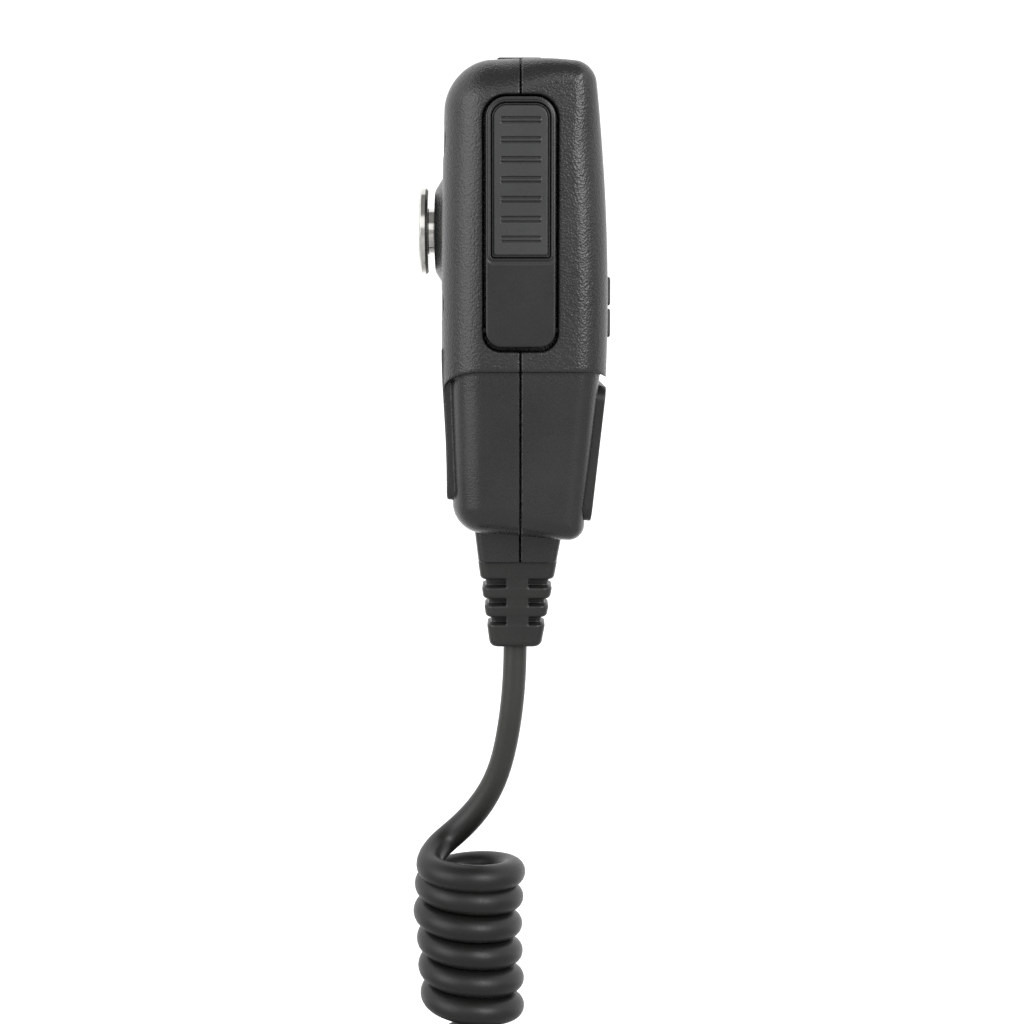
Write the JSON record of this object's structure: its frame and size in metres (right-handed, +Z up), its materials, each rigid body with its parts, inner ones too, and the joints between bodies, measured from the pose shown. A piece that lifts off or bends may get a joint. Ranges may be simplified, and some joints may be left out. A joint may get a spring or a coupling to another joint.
{
  "type": "hand microphone",
  "caption": "Hand microphone with a side push-to-talk bar, front and top keys, a rear hang-up button, and a coiled cord ending in a modular plug.",
  "frame": {"origin": "on the hang button's axis, in the middle of the neck groove that the hang-up clip grips", "axes": "+Z up along the body, +Y out of the back along the hang button, -Y out of the keypad front, -X out of the side with the push-to-talk bar"},
  "size_m": [0.0584, 0.0409, 0.3993],
  "materials": {
    "shell_plastic": "black moulded plastic with a fine leather-like grain, satin",
    "grip_plastic": "black moulded plastic, fine matt spark texture",
    "button_metal": "turned steel, bright nickel plate with fine lathe marks",
    "screw_steel": "plated steel",
    "grille_cloth": "black woven cloth",
    "boot_rubber": "matt black moulded rubber",
    "board_green": "green solder mask on glass-fibre board",
    "dome_steel": "satin steel switch covers",
    "switch_plastic": "black switch housings",
    "mat_rubber": "grey silicone sheet",
    "key_rubber": null,
    "ptt_plastic": "dark grey plastic, fine matt texture, smoother on the ribs",
    "plunger_plastic": "off-white nylon",
    "clamp_steel": "zinc-plated steel",
    "header_plastic": "natural nylon",
    "wire_colours": "coloured wire insulation",
    "cord_jacket": "black polyurethane cord jacket, satin with a slight bloom",
    "clear_plastic": "clear polycarbonate",
    "contact_gold": "gold-plated contact blades"
  },
  "bodies": {
    "mic_body": {"rear_shell": "shell_plastic", "front_shell": "shell_plastic", "keypad_bezel": "grip_plastic", "case_screws": "screw_steel", "hang_button": "button_metal", "hang_button_washer": "screw_steel", "hang_button_screw": "screw_steel", "grille_cloth": "grille_cloth", "mic_capsule": "screw_steel", "capsule_boot": "boot_rubber", "circuit_board": "board_green", "board_screws": "screw_steel", "dome_switches": "dome_steel", "keypad_mat": "mat_rubber", "top_switch_board": "board_green", "top_switches": "switch_plastic", "ptt_pin": "screw_steel", "ptt_spring": "screw_steel", "ptt_switch": "switch_plastic", "strain_relief": "boot_rubber", "cord_lead_in": "cord_jacket", "cord_clamp": "clamp_steel", "clamp_screws": "screw_steel", "wire_header": "header_plastic", "inner_wires": "wire_colours", "cord_straight": "cord_jacket", "cord_coil": "cord_jacket", "cord_tail": "cord_jacket", "plug_boot": "boot_rubber", "plug_body": "clear_plastic", "plug_contacts": "contact_gold"},
    "ptt_lever": {"ptt_bar": "ptt_plastic", "ptt_pad": "ptt_plastic"},
    "ptt_plunger_body": {"ptt_plunger": "plunger_plastic"},
    "plug_latch_body": {"plug_latch": "clear_plastic"},
    "up_key_body": {"up_key": "key_rubber"},
    "down_key_body": {"down_key": "key_rubber"},
    "function_key_1_body": {"function_key_1": "key_rubber"},
    "function_key_2_body": {"function_key_2": "key_rubber"},
    "function_key_3_body": {"function_key_3": "key_rubber"},
    "function_key_4_body": {"function_key_4": "key_rubber"},
    "function_key_5_body": {"function_key_5": "key_rubber"},
    "function_key_6_body": {"function_key_6": "key_rubber"},
    "number_key_1_body": {"number_key_1": "key_rubber"},
    "number_key_2_body": {"number_key_2": "key_rubber"},
    "number_key_3_body": {"number_key_3": "key_rubber"},
    "number_key_4_body": {"number_key_4": "key_rubber"},
    "number_key_5_body": {"number_key_5": "key_rubber"},
    "number_key_6_body": {"number_key_6": "key_rubber"},
    "number_key_7_body": {"number_key_7": "key_rubber"},
    "number_key_8_body": {"number_key_8": "key_rubber"},
    "number_key_9_body": {"number_key_9": "key_rubber"},
    "star_key_body": {"star_key": "key_rubber"},
    "number_key_0_body": {"number_key_0": "key_rubber"},
    "hash_key_body": {"hash_key": "key_rubber"}
  },
  "joints": [
    {"name": "ptt_press", "type": "hinge", "parent": "mic_body", "child": "ptt_lever", "pos_m": [-0.0251, -0.0185, -0.0202], "axis": [0, 1, 0], "range_deg": [0, 2.8], "stiffness_Nm_per_rad": 1.5, "springref_deg": -1.72, "deforming": ["ptt_spring"]},
    {"name": "ptt_switch_travel", "type": "slide", "parent": "mic_body", "child": "ptt_plunger_body", "axis": [1, 0, 0], "range_m": [0, 0.0011]},
    {"name": "up_key_press", "type": "slide", "parent": "mic_body", "child": "up_key_body", "axis": [0, 0, -1], "range_m": [0, 0.0005], "stiffness_N_per_m": 400, "springref_m": -0.001},
    {"name": "down_key_press", "type": "slide", "parent": "mic_body", "child": "down_key_body", "axis": [0, 0, -1], "range_m": [0, 0.0005], "stiffness_N_per_m": 400, "springref_m": -0.001},
    {"name": "function_key_1_press", "type": "slide", "parent": "mic_body", "child": "function_key_1_body", "axis": [0, 1, 0], "range_m": [0, 0.0005], "stiffness_N_per_m": 400, "springref_m": -0.001},
    {"name": "function_key_2_press", "type": "slide", "parent": "mic_body", "child": "function_key_2_body", "axis": [0, 1, 0], "range_m": [0, 0.0005], "stiffness_N_per_m": 400, "springref_m": -0.001},
    {"name": "function_key_3_press", "type": "slide", "parent": "mic_body", "child": "function_key_3_body", "axis": [0, 1, 0], "range_m": [0, 0.0005], "stiffness_N_per_m": 400, "springref_m": -0.001},
    {"name": "function_key_4_press", "type": "slide", "parent": "mic_body", "child": "function_key_4_body", "axis": [0, 1, 0], "range_m": [0, 0.0005], "stiffness_N_per_m": 400, "springref_m": -0.001},
    {"name": "function_key_5_press", "type": "slide", "parent": "mic_body", "child": "function_key_5_body", "axis": [0, 1, 0], "range_m": [0, 0.0005], "stiffness_N_per_m": 400, "springref_m": -0.001},
    {"name": "function_key_6_press", "type": "slide", "parent": "mic_body", "child": "function_key_6_body", "axis": [0, 1, 0], "range_m": [0, 0.0005], "stiffness_N_per_m": 400, "springref_m": -0.001},
    {"name": "number_key_1_press", "type": "slide", "parent": "mic_body", "child": "number_key_1_body", "axis": [0, 0.9938, 0.1115], "range_m": [0, 0.0005], "stiffness_N_per_m": 400, "springref_m": -0.001},
    {"name": "number_key_2_press", "type": "slide", "parent": "mic_body", "child": "number_key_2_body", "axis": [0, 0.9938, 0.1115], "range_m": [0, 0.0005], "stiffness_N_per_m": 400, "springref_m": -0.001},
    {"name": "number_key_3_press", "type": "slide", "parent": "mic_body", "child": "number_key_3_body", "axis": [0, 0.9938, 0.1115], "range_m": [0, 0.0005], "stiffness_N_per_m": 400, "springref_m": -0.001},
    {"name": "number_key_4_press", "type": "slide", "parent": "mic_body", "child": "number_key_4_body", "axis": [0, 0.9938, 0.1115], "range_m": [0, 0.0005], "stiffness_N_per_m": 400, "springref_m": -0.001},
    {"name": "number_key_5_press", "type": "slide", "parent": "mic_body", "child": "number_key_5_body", "axis": [0, 0.9938, 0.1115], "range_m": [0, 0.0005], "stiffness_N_per_m": 400, "springref_m": -0.001},
    {"name": "number_key_6_press", "type": "slide", "parent": "mic_body", "child": "number_key_6_body", "axis": [0, 0.9938, 0.1115], "range_m": [0, 0.0005], "stiffness_N_per_m": 400, "springref_m": -0.001},
    {"name": "number_key_7_press", "type": "slide", "parent": "mic_body", "child": "number_key_7_body", "axis": [0, 0.9938, 0.1115], "range_m": [0, 0.0005], "stiffness_N_per_m": 400, "springref_m": -0.001},
    {"name": "number_key_8_press", "type": "slide", "parent": "mic_body", "child": "number_key_8_body", "axis": [0, 0.9938, 0.1115], "range_m": [0, 0.0005], "stiffness_N_per_m": 400, "springref_m": -0.001},
    {"name": "number_key_9_press", "type": "slide", "parent": "mic_body", "child": "number_key_9_body", "axis": [0, 0.9938, 0.1115], "range_m": [0, 0.0005], "stiffness_N_per_m": 400, "springref_m": -0.001},
    {"name": "star_key_press", "type": "slide", "parent": "mic_body", "child": "star_key_body", "axis": [0, 0.9938, 0.1115], "range_m": [0, 0.0005], "stiffness_N_per_m": 400, "springref_m": -0.001},
    {"name": "number_key_0_press", "type": "slide", "parent": "mic_body", "child": "number_key_0_body", "axis": [0, 0.9938, 0.1115], "range_m": [0, 0.0005], "stiffness_N_per_m": 400, "springref_m": -0.001},
    {"name": "hash_key_press", "type": "slide", "parent": "mic_body", "child": "hash_key_body", "axis": [0, 0.9938, 0.1115], "range_m": [0, 0.0005], "stiffness_N_per_m": 400, "springref_m": -0.001},
    {"name": "plug_latch_press", "type": "hinge", "parent": "mic_body", "child": "plug_latch_body", "pos_m": [0, -0.0122, -0.3643], "axis": [-1, 0, 0], "range_deg": [0, 7], "stiffness_Nm_per_rad": 0.5, "springref_deg": -1.15}
  ],
  "couplings": [
    {"joint": "ptt_switch_travel", "follows": "ptt_press", "m_per_rad": 0.0202}
  ]
}
